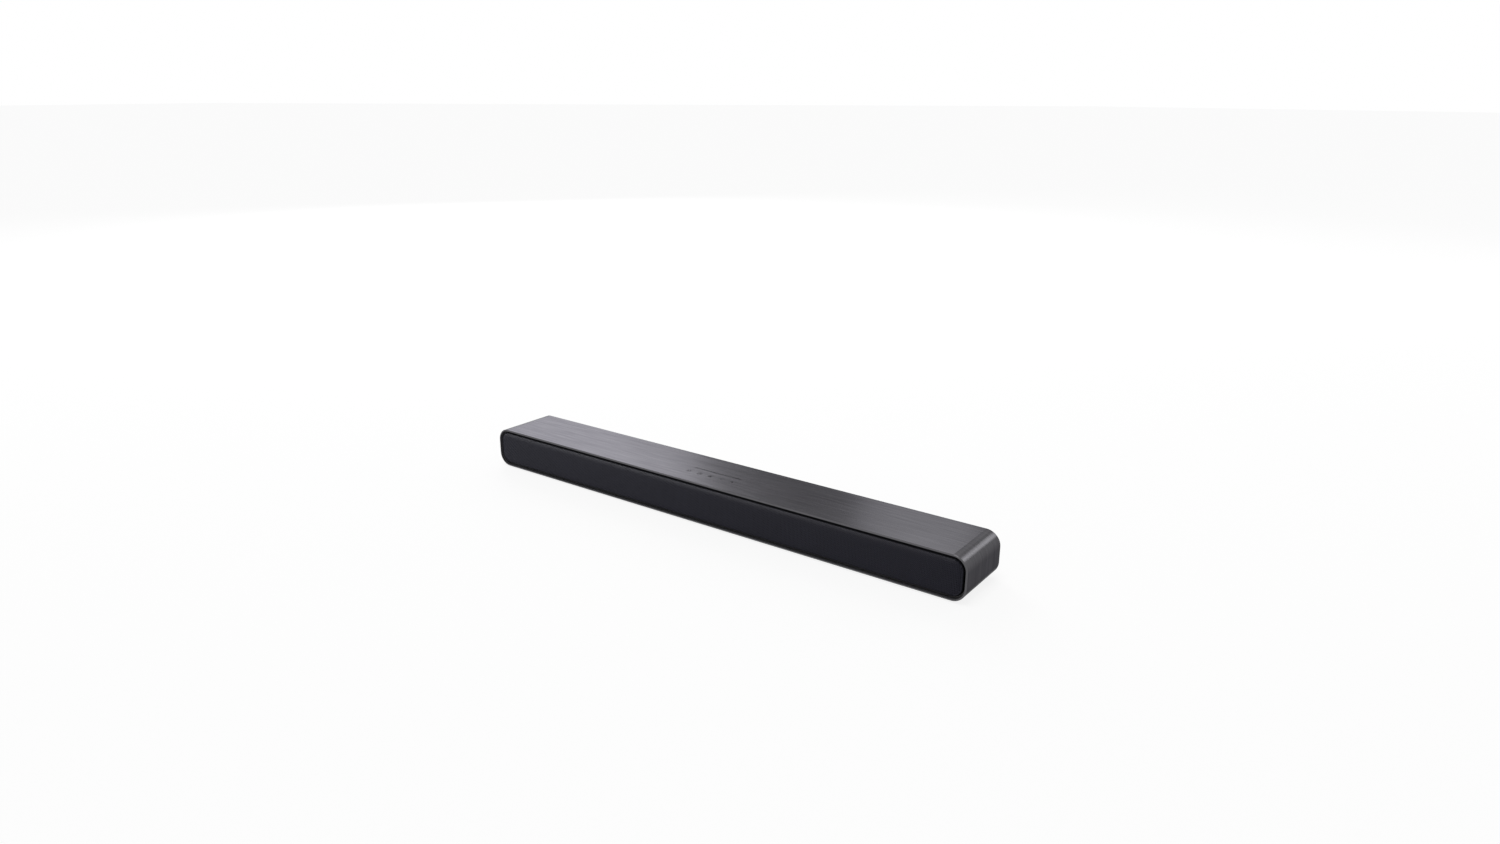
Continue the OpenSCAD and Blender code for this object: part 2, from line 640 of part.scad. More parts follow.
// Sheet tray on the sleeve's floor, held between its two ribs, with a standoff under each board screw
module board_tray() color("#9a9a9e") difference() {
    union() {
        between([power_x[0], main_x[1]], baffle_back + rib_t + 0.5,
            rear_y - liner_deep - rib_t - 0.5, tray_z, tray_z + tray_t);
        for (p = standoff_spots) translate([p[0], p[1], tray_z])
            cylinder(h = board_z - pcb_t - tray_z, r = standoff_r);
    }
    for (p = standoff_spots) translate([p[0], p[1], tray_z + tray_t]) cylinder(h = 20, r = screw_r);
}

module board(xs) color("#1f5c38") difference() {
    between(xs, board_y0, board_y1, board_z - pcb_t, board_z);
    for (p = standoff_spots) translate([p[0], p[1], board_z - 5]) cylinder(h = 10, r = screw_r + 0.2);
}
module main_board() board(main_x);
module power_board() board(power_x);

module board_screws() color("silver") for (p = standoff_spots) translate([p[0], p[1], board_z]) {
    cylinder(h = 1.6, r = 2.2);
    translate([0, 0, -pcb_t - 4]) cylinder(h = pcb_t + 4.5, r = screw_r - 0.05);
}

module transformer() color("#c8a53a") {
    x = power_x[0] + 46;
    between([x - 13, x + 13], -18, 8, board_z, board_z + 20);
    between([x - 15, x + 15], -12, 2, board_z + 3, board_z + 17);
}

module mains_capacitor() color("#2b3f86") translate([power_x[0] + 18, -8, board_z]) cylinder(h = 25, r = 8);

module board_chips() color("#1a1a1c") {
    for (c = [[50, -8, 14], [80, -8, 9], [118, -9, 12], [50, 12, 10]])
        translate([main_x[0] + c[0], c[1], board_z]) linear_extrude(chip_t) square(c[2], center = true);
    for (x = [0 : 3]) translate([main_x[0] + 104 + 9 * x, -20.5, board_z]) cylinder(h = 9, r = 3);
}

// A plug on the main board and a lead to the speaker box, for each side
module speaker_leads() color("#181818") for (s = [-1, 1]) {
    plug_x = s > 0 ? main_x[1] - 9 : main_x[0] + 9;
    translate([plug_x - 4, lead_y - 4, board_z]) cube([8, 8, lead_z + 2 - board_z]);
    from = s > 0 ? plug_x : -(woofer_x - box_w / 2);
    to = s > 0 ? woofer_x - box_w / 2 : plug_x;
    translate([from, lead_y, lead_z]) rotate([0, 90, 0]) cylinder(h = to - from, r = lead_r);
}

// Finned block on the amplifier
module heat_sink() color("#b9b9be") translate([main_x[0] + 118, -9, board_z + chip_t]) {
    linear_extrude(3) square([sink[0], sink[1]], center = true);
    for (k = [-3 : 3]) translate([k * (sink[0] - 2) / 6, 0, 0])
        linear_extrude(sink[2]) square([1.6, sink[1]], center = true);
}

// ---------------------------------------------------------------- rear cover and sockets

module bay(x, w) translate([x, bay_z - mid_z]) square([w, bay_h], center = true);

module rear_cover() color("#1d1d20") difference() {
    union() {
        difference() {
            slab(rear_y - liner_deep, cover_y) outline(liner_in);
            slab(rear_y - liner_deep - 1, cover_y - cover_t) outline(liner_in + liner_t);
        }
        slab(bay_y - bay_wall, cover_y - 1) bay(mains_x, mains_w + 2 * bay_wall);
        slab(bay_y, cover_y - 1) offset_bay(signal_x, signal_w, bay_wall);
        for (p = post_spots) rod(p[0], mid_z + p[1], cup_r, meet_y + 0.1, cover_y - 1);
        for (s = [-1, 1]) rod(s * mount_pitch / 2, mid_z, 6, cover_y - 14, cover_y - 1);
        for (s = [-1, 1], k = [-1.5 : 1.5]) translate([s * (mount_pitch / 2 + k * cover_rib_pitch), 0])
            slab(cover_y - cover_t - cover_rib_h, cover_y - 1)
                square([cover_rib_t, bar_h - 2 * (liner_in + liner_t) + 1], center = true);
    }
    slab(cover_y - cover_t - 1, cover_y + 1) for (k = [0 : slots - 1])
        translate([slots_x + (k - (slots - 1) / 2) * slot_pitch, bay_z - mid_z])
            rotate(90) stadium(slot_h, slot_w);
    slab(bay_y, cover_y + 1) bay(mains_x, mains_w);
    slab(bay_y - 1, cover_y + 1) bay(signal_x, signal_w);
    slab(bay_y - bay_wall - 1, bay_y + 1) translate([mains_x, inlet_z - mid_z])
        stadium(inlet_w + 0.4, inlet_h + 0.4);
    for (p = post_spots) {
        rod(p[0], mid_z + p[1], 3.5, meet_y + 4, cover_y + 1);
        rod(p[0], mid_z + p[1], screw_r + 0.4, meet_y - 1, cover_y);
    }
    for (s = [-1, 1]) rod(s * mount_pitch / 2, mid_z, insert_out_r + 0.05, cover_y - 10, cover_y + 1);
}
module offset_bay(x, w, wall) translate([x, bay_z - mid_z])
    square([w + 2 * wall, bay_h + 2 * wall], center = true);

insert_out_r = 3;
module wall_inserts() color("#c2a14d") for (s = [-1, 1]) difference() {
    rod(s * mount_pitch / 2, mid_z, insert_out_r, cover_y - 9, cover_y);
    rod(s * mount_pitch / 2, mid_z, insert_r, cover_y - 10, cover_y + 1);
}

module case_screws() color("#3c3c40") for (p = post_spots)
    screw_y(p[0], meet_y + 4, mid_z + p[1], screw_r - 0.05, 2.8, 14);

// Socket places on the signal bay's floor, from the bar's left to its right
usb_x = signal_x - 36;
hdmi_x = signal_x - 12;
optical_x = signal_x + 13;
aux_x = signal_x + 36;
usb = [13.2, 6];
hdmi = [15, 6];
optical = [10, 10];
aux_r = 1.8;
aux_nose_r = 3.2;
aux_h = 7;
socket_deep = 14;
inlet_w = 17;
inlet_h = 9;
inlet_z = bay_z;

module socket_plate() color("#26262a") difference() {
    slab(bay_y - plate_1, bay_y) offset_bay(signal_x, signal_w, bay_wall);
    for (c = [[usb_x, usb], [hdmi_x, hdmi], [optical_x, optical]])
        slab(bay_y - 5, bay_y + 1) translate([c[0], board_z + c[1][1] / 2 - mid_z])
            square(c[1] + [0.4, 0.4], center = true);
    rod(aux_x, board_z + aux_h / 2, aux_nose_r + 0.2, bay_y - 5, bay_y + 1);
}

// A folded metal shell round an open mouth with a contact tongue in it
module shell_socket(x, size, tongue, wall) {
    z = board_z + size[1] / 2 - mid_z;
    difference() {
        slab(bay_y - socket_deep, bay_y) translate([x, z]) square(size, center = true);
        slab(bay_y - socket_deep + 2, bay_y + 1) translate([x, z])
            square(size - [2 * wall, 2 * wall], center = true);
    }
    slab(bay_y - socket_deep + 1, bay_y - 2) translate([x, z + tongue[2]])
        square([tongue[0], tongue[1]], center = true);
}
module usb_socket() color("#b9b9be") shell_socket(usb_x, usb, [11, 1.6, 0.8], 0.4);
module hdmi_socket() color("#a9a9ae") shell_socket(hdmi_x, hdmi, [11, 1.2, 0], 0.6);

module optical_socket() color("#151517") {
    z = board_z + optical[1] / 2 - mid_z;
    difference() {
        slab(bay_y - socket_deep, bay_y) translate([optical_x, z]) square(optical, center = true);
        slab(bay_y - 9, bay_y + 1) translate([optical_x, z]) square([6.4, 6], center = true);
    }
}

module aux_socket() color("#151517") difference() {
    union() {
        slab(bay_y - socket_deep, bay_y - plate_1 - 0.2) translate([aux_x, board_z + aux_h / 2 - mid_z])
            square([9, aux_h], center = true);
        rod(aux_x, board_z + aux_h / 2, aux_nose_r, bay_y - plate_1 - 1, bay_y);
    }
    rod(aux_x, board_z + aux_h / 2, aux_r, bay_y - socket_deep + 1, bay_y + 1);
}

// Two-pin mains inlet with a figure-of-eight mouth
module mains_inlet() color("#101012") {
    deep = 14;
    difference() {
        union() {
            slab(bay_y - bay_wall - 1.6, bay_y - bay_wall) translate([mains_x, inlet_z - mid_z])
                stadium(inlet_w + 8, inlet_h + 6);
            slab(bay_y - deep, bay_y) translate([mains_x, inlet_z - mid_z]) stadium(inlet_w, inlet_h);
        }
        slab(bay_y - deep + 2, bay_y + 1) translate([mains_x, inlet_z - mid_z])
            stadium(inlet_w - 1.6, inlet_h - 1.6);
    }
    for (s = [-1, 1]) rod(mains_x + s * 4.3, inlet_z, 1.2, bay_y - deep + 1, bay_y - 2);
}

// ---------------------------------------------------------------- every node by its name

sleeve();
baffle();
grille();
grille_frame();
grille_scrim();
display_lens();
display_board();
for (i = [0 : 4]) key(i);
key_board();
key_switches();
key_board_screws();
for (i = [0, 1]) {
    s = 2 * i - 1;
    woofer_basket(s);
    woofer_gasket(s);
    woofer_magnet(s);
    woofer_yoke(s);
    woofer_spider(s);
    woofer_surround(s);
    woofer_cone(s);
    voice_coil(s);
    tweeter(s);
    tweeter_dome(s);
    tweeter_roll(s);
    speaker_box(s);
}
driver_screws();
box_screws();
board_tray();
power_board();
transformer();
mains_capacitor();
main_board();
board_chips();
heat_sink();
speaker_leads();
board_screws();
rear_cover();
socket_plate();
mains_inlet();
hdmi_socket();
optical_socket();
usb_socket();
aux_socket();
wall_inserts();
case_screws();
rubber_feet();
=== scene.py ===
import bpy
import bmesh
import json
import math
from mathutils import Matrix, Vector


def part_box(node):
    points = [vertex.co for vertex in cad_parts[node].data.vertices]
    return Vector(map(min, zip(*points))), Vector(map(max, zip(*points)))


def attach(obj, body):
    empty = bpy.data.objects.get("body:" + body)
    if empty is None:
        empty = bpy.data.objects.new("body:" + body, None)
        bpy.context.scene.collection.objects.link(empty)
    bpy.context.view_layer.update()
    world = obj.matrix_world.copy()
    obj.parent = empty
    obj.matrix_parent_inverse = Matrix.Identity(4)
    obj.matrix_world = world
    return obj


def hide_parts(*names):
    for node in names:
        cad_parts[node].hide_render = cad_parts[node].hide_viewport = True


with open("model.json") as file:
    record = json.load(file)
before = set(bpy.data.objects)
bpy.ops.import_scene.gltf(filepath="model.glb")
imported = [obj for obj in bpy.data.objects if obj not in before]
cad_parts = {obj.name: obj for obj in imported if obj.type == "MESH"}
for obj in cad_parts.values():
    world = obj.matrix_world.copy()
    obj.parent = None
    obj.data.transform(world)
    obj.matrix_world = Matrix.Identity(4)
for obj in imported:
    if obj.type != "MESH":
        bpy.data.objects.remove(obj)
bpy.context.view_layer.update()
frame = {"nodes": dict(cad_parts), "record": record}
mm = 0.001


def stand(name, data):
    # puts data in the scene as an object of its own
    thing = bpy.data.objects.new(name, data)
    bpy.context.collection.objects.link(thing)
    return thing


cameraSpec = {
    "place": (0.849, -1.088, 0.5853),
    "yaw": -36.08,              # degrees, turned left of straight ahead
    "pitch": 17.96,             # degrees, looking down
    "roll": 0.223,
    "sensor": 36,
    "focal": 25.0608,
    "farthest": 30,
}


def makeCamera(spec):
    yaw, pitch, roll = (math.radians(spec[k]) for k in ("yaw", "pitch", "roll"))
    ahead = Vector((math.sin(yaw) * math.cos(pitch), math.cos(yaw) * math.cos(pitch), -math.sin(pitch)))
    right = Vector((math.cos(yaw), -math.sin(yaw), 0))
    up = right.cross(ahead)
    rolledRight = right * math.cos(roll) + up * math.sin(roll)
    rolledUp = up * math.cos(roll) - right * math.sin(roll)
    data = bpy.data.cameras.new("camera")
    data.lens = spec["focal"]
    data.sensor_width = spec["sensor"]
    data.clip_end = spec["farthest"]
    turn = Matrix((rolledRight, rolledUp, -ahead)).transposed().to_4x4()
    camera = stand("camera", data)
    camera.matrix_world = Matrix.Translation(spec["place"]) @ turn
    bpy.context.scene.camera = camera


makeCamera(cameraSpec)
print("camera placed")


def feed(tree, socket, value):
    # a socket takes a link from another node or a plain value
    if isinstance(value, bpy.types.NodeSocket):
        tree.links.new(value, socket)
    else:
        socket.default_value = value


def addNode(tree, kind, settings=None, **sockets):
    # sockets go by name, or by number as i0, i1 and so on
    node = tree.nodes.new(kind)
    for key, value in (settings or {}).items():
        setattr(node, key, value)
    for key, value in sockets.items():
        numbered = key[0] == "i" and key[1:].isdigit()
        feed(tree, node.inputs[int(key[1:]) if numbered else key.replace("_", " ")], value)
    return node


def maths(tree, operation, a, b=0.0, c=None):
    node = addNode(tree, "ShaderNodeMath", {"operation": operation}, i0=a, i1=b)
    if c is not None:
        feed(tree, node.inputs[2], c)
    return node.outputs[0]


def clearOf(tree, value, limit):
    # how far a value's size goes past a limit
    return maths(tree, "SUBTRACT", maths(tree, "ABSOLUTE", value), limit)


def cornerReach(tree, across, upward):
    # distance from a corner's centre, for points past it both ways
    a, b = maths(tree, "MAXIMUM", across, 0.0), maths(tree, "MAXIMUM", upward, 0.0)
    return maths(tree, "SQRT", maths(tree, "ADD", maths(tree, "MULTIPLY", a, a), maths(tree, "MULTIPLY", b, b)))


def meshPiece(name, vertices, faces, material, smooth=False):
    mesh = bpy.data.meshes.new(name)
    mesh.from_pydata(vertices, [], faces)
    mesh.validate()
    work = bmesh.new()
    work.from_mesh(mesh)
    bmesh.ops.recalc_face_normals(work, faces=work.faces)
    work.to_mesh(mesh)
    work.free()
    mesh.materials.append(material)
    for face in mesh.polygons:
        face.use_smooth = smooth
    return stand(name, mesh)


def newFinish(name, color, metallic=0.0, roughness=0.5, **more):
    material = bpy.data.materials.new(name)
    material.use_nodes = True
    tree = material.node_tree
    surface = tree.nodes["Principled BSDF"]
    surface.inputs["Base Color"].default_value = (*color, 1)
    surface.inputs["Metallic"].default_value = metallic
    surface.inputs["Roughness"].default_value = roughness
    for key, value in more.items():
        surface.inputs[key.replace("_", " ")].default_value = value
    return material, tree, surface


def placed(tree, scale):
    where = addNode(tree, "ShaderNodeTexCoord")
    return addNode(tree, "ShaderNodeMapping", Vector=where.outputs["Object"], Scale=scale).outputs[0]


def noise(tree, scale, detail=4.0, seedShift=0.0):
    spot = placed(tree, scale)
    spot = addNode(tree, "ShaderNodeVectorMath", {"operation": "ADD"}, i0=spot, i1=(seedShift,) * 3).outputs[0]
    return addNode(tree, "ShaderNodeTexNoise", Vector=spot, Scale=1.0, Detail=detail).outputs[0]


noiseRange = (0.3, 0.7)         # most of a noise's values lie between these


def spread(tree, value, low, high):
    return addNode(tree, "ShaderNodeMapRange", Value=value, From_Min=noiseRange[0], From_Max=noiseRange[1],
                   To_Min=low, To_Max=high).outputs[0]


def tint(tree, value, dark, light):
    ramp = addNode(tree, "ShaderNodeValToRGB", Fac=value)
    for element, place, color in zip(ramp.color_ramp.elements, noiseRange, (dark, light)):
        element.position = place
        element.color = (*color, 1)
    return ramp.outputs[0]


def bump(tree, surface, height, distance):
    node = addNode(tree, "ShaderNodeBump", Height=height, Distance=distance, Strength=1.0)
    tree.links.new(node.outputs[0], surface.inputs["Normal"])


def grained(name, color, metallic=0.0, roughness=0.5, grain=900.0, vary=0.18, wobble=0.08, depth=0.00004,
            stretch=(1, 1, 1), **more):
    # colour, gloss and relief each follow a noise of their own; stretch draws the grain out along an axis
    material, tree, surface = newFinish(name, color, metallic, roughness, **more)
    scale = tuple(grain * s for s in stretch)
    fine = noise(tree, scale)
    broad = noise(tree, (22, 22, 22), 3.0, 5.1)
    mix = maths(tree, "ADD", maths(tree, "MULTIPLY", fine, 0.7), maths(tree, "MULTIPLY", broad, 0.3))
    tree.links.new(tint(tree, mix, [c * (1 - vary) for c in color], [min(1, c * (1 + vary)) for c in color]),
                   surface.inputs["Base Color"])
    tree.links.new(spread(tree, mix, max(0.03, roughness - wobble), roughness + wobble), surface.inputs["Roughness"])
    bump(tree, surface, fine, depth)
    return material


boardSpec = {
    "tracksPerMetre": 260,
    "padsPerMetre": 420,
    "padShare": 0.16,           # a pad's radius in shares of the distance between pads
    "mask": (0.02, 0.16, 0.07),
    "maskTones": ((0.012, 0.10, 0.04), (0.03, 0.2, 0.09)),
    "tin": (0.6, 0.6, 0.58, 1),
    "relief": 0.04 * mm,
}


def boardFinish(spec):
    # solder mask with copper tracks under it and tinned pads
    material, tree, surface = newFinish("boardFinish", spec["mask"], 0.0, 0.35)
    spot = placed(tree, (spec["tracksPerMetre"],) * 3)
    tracks = addNode(tree, "ShaderNodeTexVoronoi", {"distance": "CHEBYCHEV"}, Vector=spot, Scale=1.0)
    base = tint(tree, tracks.outputs["Distance"], *spec["maskTones"])
    pads = addNode(tree, "ShaderNodeTexVoronoi", Vector=placed(tree, (spec["padsPerMetre"],) * 3), Scale=1.0)
    isPad = maths(tree, "LESS_THAN", pads.outputs["Distance"], spec["padShare"])
    mix = addNode(tree, "ShaderNodeMix", {"data_type": "RGBA"}, i0=isPad, i6=base, i7=spec["tin"])
    tree.links.new(mix.outputs[2], surface.inputs["Base Color"])
    bump(tree, surface, tracks.outputs["Distance"], spec["relief"])
    return material


def weave(name, dark, light, threads):
    # plain weave drawn on the piece's own X and Z
    material, tree, surface = newFinish(name, light, 0.0, 0.9)
    where = addNode(tree, "ShaderNodeTexCoord")
    split = addNode(tree, "ShaderNodeSeparateXYZ", Vector=where.outputs["Object"])
    over = maths(tree, "SINE", maths(tree, "MULTIPLY", split.outputs[0], threads))
    under = maths(tree, "SINE", maths(tree, "MULTIPLY", split.outputs[2], threads))
    cloth = maths(tree, "MULTIPLY", over, under)
    shade = tint(tree, maths(tree, "MULTIPLY_ADD", cloth, 0.5, 0.5), dark, light)
    tree.links.new(shade, surface.inputs["Base Color"])
    bump(tree, surface, cloth, 0.00006)
    return material


def sleeveShadeMask(tree, spec):
    # 1 on the inner side of the sleeve's wall, 0 outside, on the lips and just behind them: where the painted shade
    # for the gap round the grille goes
    where = addNode(tree, "ShaderNodeTexCoord")
    x, y, z = addNode(tree, "ShaderNodeSeparateXYZ", Vector=where.outputs["Object"]).outputs
    across = clearOf(tree, x, spec["halfWide"] - spec["corner"])
    upward = clearOf(tree, maths(tree, "SUBTRACT", z, spec["middle"]), spec["halfHigh"] - spec["corner"])
    innerFace = spec["corner"] - spec["wallShare"] * spec["wall"]
    inner = maths(tree, "LESS_THAN", cornerReach(tree, across, upward), innerFace)
    behind = maths(tree, "GREATER_THAN", y, spec["front"] + spec["bareLip"])
    return maths(tree, "MULTIPLY", inner, behind)


def sleeveFinish(spec):
    # dark anodised metal, brushed along the bar, and on its inner side a dark satin paint that stands in for the
    # shade in the gap round the grille (painted shade);
    # the strokes spread reflections across themselves
    material, tree, surface = newFinish("sleeveFinish", spec["metal"], 1.0, 0.3)
    grain = 0.0
    for scale, detail, seed, share in spec["brushMarks"]:
        grain = maths(tree, "MULTIPLY_ADD", noise(tree, scale, detail, seed), share, grain)
    cloud = noise(tree, (2.5, 90, 2.5), 2.0, 8.3)
    inside = sleeveShadeMask(tree, spec)
    metal = tint(tree, grain, *spec["metalTones"])
    # painted shade: the inner side takes the dark paint in place of the gap's shade
    both = addNode(tree, "ShaderNodeMix", {"data_type": "RGBA"}, i0=inside, i6=metal, i7=spec["insideShadePaint"])
    tree.links.new(both.outputs[2], surface.inputs["Base Color"])
    tree.links.new(maths(tree, "SUBTRACT", 1.0, inside), surface.inputs["Metallic"])
    surface.inputs["Specular IOR Level"].default_value = spec["insideGloss"]
    shade = maths(tree, "ADD", maths(tree, "MULTIPLY", grain, 0.8), maths(tree, "MULTIPLY", cloud, 0.2))
    dull = maths(tree, "MULTIPLY", inside, spec["insideRoughness"])
    rough = maths(tree, "MAXIMUM", spread(tree, shade, *spec["brushedRoughness"]), dull)
    tree.links.new(rough, surface.inputs["Roughness"])
    surface.inputs["Specular Tint"].default_value = spec["edgeTint"]
    surface.inputs["Anisotropic"].default_value = spec["anisotropy"]
    tree.links.new(addNode(tree, "ShaderNodeCombineXYZ", Y=1.0).outputs[0], surface.inputs["Tangent"])
    bump(tree, surface, grain, spec["relief"])
    return material


sleeveLow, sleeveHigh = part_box("sleeve")
sleeveSpec = {
    "halfWide": (sleeveHigh[0] - sleeveLow[0]) / 2,
    "halfHigh": (sleeveHigh[2] - sleeveLow[2]) / 2,
    "middle": (sleeveHigh[2] + sleeveLow[2]) / 2,
    "corner": 19.5 * mm,
    "wall": 2.2 * mm,
    "wallShare": 0.85,          # what lies this far into the wall counts as its inner side
    "gap": 3 * mm,              # between the wall and the grille
    "front": sleeveLow[1],
    "bareLip": 1.2 * mm,        # the metal finish goes this far round the lip
    "brushMarks": [
        # noise scale, detail, seed, share: fine marks, strokes and scratches
        ((9, 2600, 9), 3.0, 0.0, 0.3),
        ((4, 420, 4), 2.0, 3.7, 0.3),
        ((16, 260, 16), 4.0, 6.1, 0.4),
    ],
    "relief": 0.01 * mm,
    "metal": (0.107, 0.1055, 0.1115),
    "metalTones": ((0.085, 0.0835, 0.089), (0.129, 0.127, 0.1345)),
    "brushedRoughness": (0.18, 0.25),
    "anisotropy": 0.6,
    "edgeTint": (0.34, 0.34, 0.345, 1),         # keeps the metal dark where it is seen at a low angle
    # painted shade for the gap round the grille, on the sleeve's inner side
    "insideShadePaint": (0.07, 0.069, 0.076, 1),
    "insideGloss": 0.1,
    "insideRoughness": 0.5,
}

finishes = {
    "sleeve": sleeveFinish(sleeveSpec),
    "black_plastic": grained("blackPlastic", (0.02, 0.02, 0.022), 0, 0.5, 1600),
    "grille": grained("grillePaint", (0.0074, 0.0074, 0.0118), 0, 0.47, 2600, 0.15, 0.05, 0.00002,
                      Specular_IOR_Level=0.1),
    "scrim": weave("scrimCloth", (0.003, 0.003, 0.003), (0.012, 0.012, 0.013), 9000),
    "lens": grained("smokedLens", (0.012, 0.012, 0.015), 0, 0.08, 400, 0.1, 0.03, 0.000002, Coat_Weight=0.5),
    "board": boardFinish(boardSpec),
    "screws": grained("zincPlate", (0.6, 0.6, 0.61), 1, 0.3, 1500, 0.1),
    "black_screws": grained("blackOxide", (0.05, 0.05, 0.055), 0.8, 0.4, 1500, 0.2),
    "plated_steel": grained("platedSteel", (0.5, 0.5, 0.52), 1, 0.32, 900, 0.1, 0.08, 0.00002, (0.08, 1, 1)),
    "transformer": grained("coilTape", (0.55, 0.4, 0.07), 0, 0.45, 500, 0.1, 0.06, 0.00003, (1, 1, 3)),
    "capacitor": grained("capacitorSkin", (0.03, 0.06, 0.25), 0, 0.3, 700, 0.1),
    "chips": grained("chipEpoxy", (0.015, 0.015, 0.017), 0, 0.6, 2200),
    "aluminium": grained("sinkAluminium", (0.55, 0.55, 0.57), 1, 0.38, 800, 0.08, 0.06, 0.00002, (1, 0.1, 1)),
    "cover": grained("coverPlastic", (0.021, 0.021, 0.024), 0, 0.55, 1900, 0.2, 0.07, 0.00006),
    "brass": grained("turnedBrass", (0.6, 0.43, 0.17), 1, 0.3, 1400, 0.12),
    "rubber": grained("feetRubber", (0.018, 0.018, 0.019), 0, 0.75, 1300, 0.25, 0.1, 0.00008),
    "basket": grained("basketCoat", (0.045, 0.045, 0.05), 0.3, 0.45, 1500),
    "foam": grained("gasketFoam", (0.014, 0.014, 0.014), 0, 0.95, 1100, 0.4, 0.04, 0.0002),
    "magnet": grained("ferrite", (0.1, 0.1, 0.11), 0.2, 0.55, 1300),
    "spider": weave("spiderCloth", (0.3, 0.15, 0.04), (0.5, 0.28, 0.09), 7000),
    "cone": grained("coneFibre", (0.03, 0.03, 0.033), 0, 0.8, 600, 0.3, 0.08, 0.0001),
    "copper": grained("coilCopper", (0.62, 0.25, 0.11), 1, 0.3, 900, 0.15, 0.06, 0.00006, (0.3, 6, 0.3)),
    "dome": weave("domeSilk", (0.03, 0.03, 0.034), (0.06, 0.06, 0.066), 6000),
}
slotOf = {row["node"]: row["material_slot"] for row in frame["record"]["subparts"]}
for nodeName, nodeObject in frame["nodes"].items():
    slots = nodeObject.data.materials
    if not slots:
        slots.append(None)
    for i in range(len(slots)):
        slots[i] = finishes[slotOf[nodeName]]
print("finishes made")

grilleLow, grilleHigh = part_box("grille")
grilleSpec = {
    "pitch": 2.4 * mm,
    "holeRadius": 0.78 * mm,
    "sheet": 0.8 * mm,
    "roll": 8 * mm,
    "crown": 3 * mm,
    "edge": 1.2 * mm,           # tight round of the outer edge, part of the crown
    "edgeReach": 1.8 * mm,
    "bulge": 0.5 * mm,          # shallow part of the crown that reaches the middle
    "bulgeReach": 23 * mm,
    "corner": sleeveSpec["corner"] - sleeveSpec["wall"] - sleeveSpec["gap"],
    "firstHole": 2.4 * mm,      # distance of the outermost hole's centre from the edge
    "plainRim": 0.62,           # plain cells go on outwards from the holes for this share of the pitch
    "borderRim": 0.6,           # and the border begins at this share of it
    "weld": 0.02 * mm,
    "halfWide": (grilleHigh[0] - grilleLow[0]) / 2,
    "halfHigh": (grilleHigh[2] - grilleLow[2]) / 2,
    "middle": (grilleHigh[2] + grilleLow[2]) / 2,
    "flat": grilleLow[1],       # y of the flat face
    "skirt": 4 * mm,
    "borderOver": 0.3 * mm,     # the border laps over the punched field
    "borderProud": 0.03 * mm,
    "hemInside": 0.2 * mm,
    "borderSteps": 8,
    "borderCrowding": 1.5,      # draws the border's rings together towards the edge
}
# painted shade: the grille's paint made darker and dull for the rolled border and skirt, as if the border lay unlit
borderPaint = grained("borderPaint", (0.0045, 0.0045, 0.0055), 0, 0.9, 2600, 0.2, 0.05, 0.00002,
                      Specular_IOR_Level=0.02)


def cellObject(name, pitch, hole, sheet, sides=8):
    # one hexagonal cell of the sheet, in X and Z, with or without its hole
    reach = pitch / math.sqrt(3)
    corners = [math.radians(60 * k + 30) for k in range(6)]
    hexagon = [(reach * math.sin(a), reach * math.cos(a)) for a in corners]
    ring = [(hole * math.sin(math.tau * (k + 0.5) / sides), hole * math.cos(math.tau * (k + 0.5) / sides))
            for k in range(sides)] if hole else []
    work = bmesh.new()
    levels = []
    for y in (0.0, sheet):
        outer = [work.verts.new((x, y, z)) for x, z in hexagon]
        inner = [work.verts.new((x, y, z)) for x, z in ring]
        levels.append((outer, inner))
    for outer, inner in levels:
        if not inner:
            work.faces.new(outer)
            continue
        # walk round both rings together, always taking the nearer next corner
        i = j = 0
        angleOut = [60 * k + 30 for k in range(7)]
        angleIn = [360 * (k + 0.5) / sides for k in range(sides + 1)]
        while i < 6 or j < sides:
            stepOut = i < 6 and (j >= sides or angleOut[i + 1] <= angleIn[j + 1])
            if stepOut:
                work.faces.new((outer[i], outer[(i + 1) % 6], inner[j % sides]))
                i += 1
            else:
                work.faces.new((outer[i % 6], inner[(j + 1) % sides], inner[j % sides]))
                j += 1
    for k in range(sides if hole else 0):
        n = (k + 1) % sides
        work.faces.new((levels[0][1][k], levels[0][1][n], levels[1][1][n], levels[1][1][k]))
    bmesh.ops.recalc_face_normals(work, faces=work.faces)
    # an open cell has no side walls, so its front is turned by hand
    for face in work.faces:
        centre = face.calc_center_median()
        flat = abs(face.normal.y) > 0.9
        if flat and (face.normal.y > 0) != (centre.y > sheet / 2):
            face.normal_flip()
        if not flat and (face.normal.x * centre.x + face.normal.z * centre.z) > 0:
            face.normal_flip()
    mesh = bpy.data.meshes.new(name)
    work.to_mesh(mesh)
    work.free()
    return bpy.data.objects.new(name, mesh)


# named inputs of the grille's tree, and the values of grilleSpec that they take
grilleInputs = {
    "Pitch": "pitch", "Half Wide": "halfWide", "Half High": "halfHigh", "Corner": "corner", "Roll": "roll",
    "Crown": "crown", "First Hole": "firstHole", "Middle": "middle", "Flat": "flat", "Bulge": "bulge",
    "Bulge Reach": "bulgeReach", "Edge": "edge", "Edge Reach": "edgeReach", "Plain Rim": "plainRim", "Weld": "weld",
}


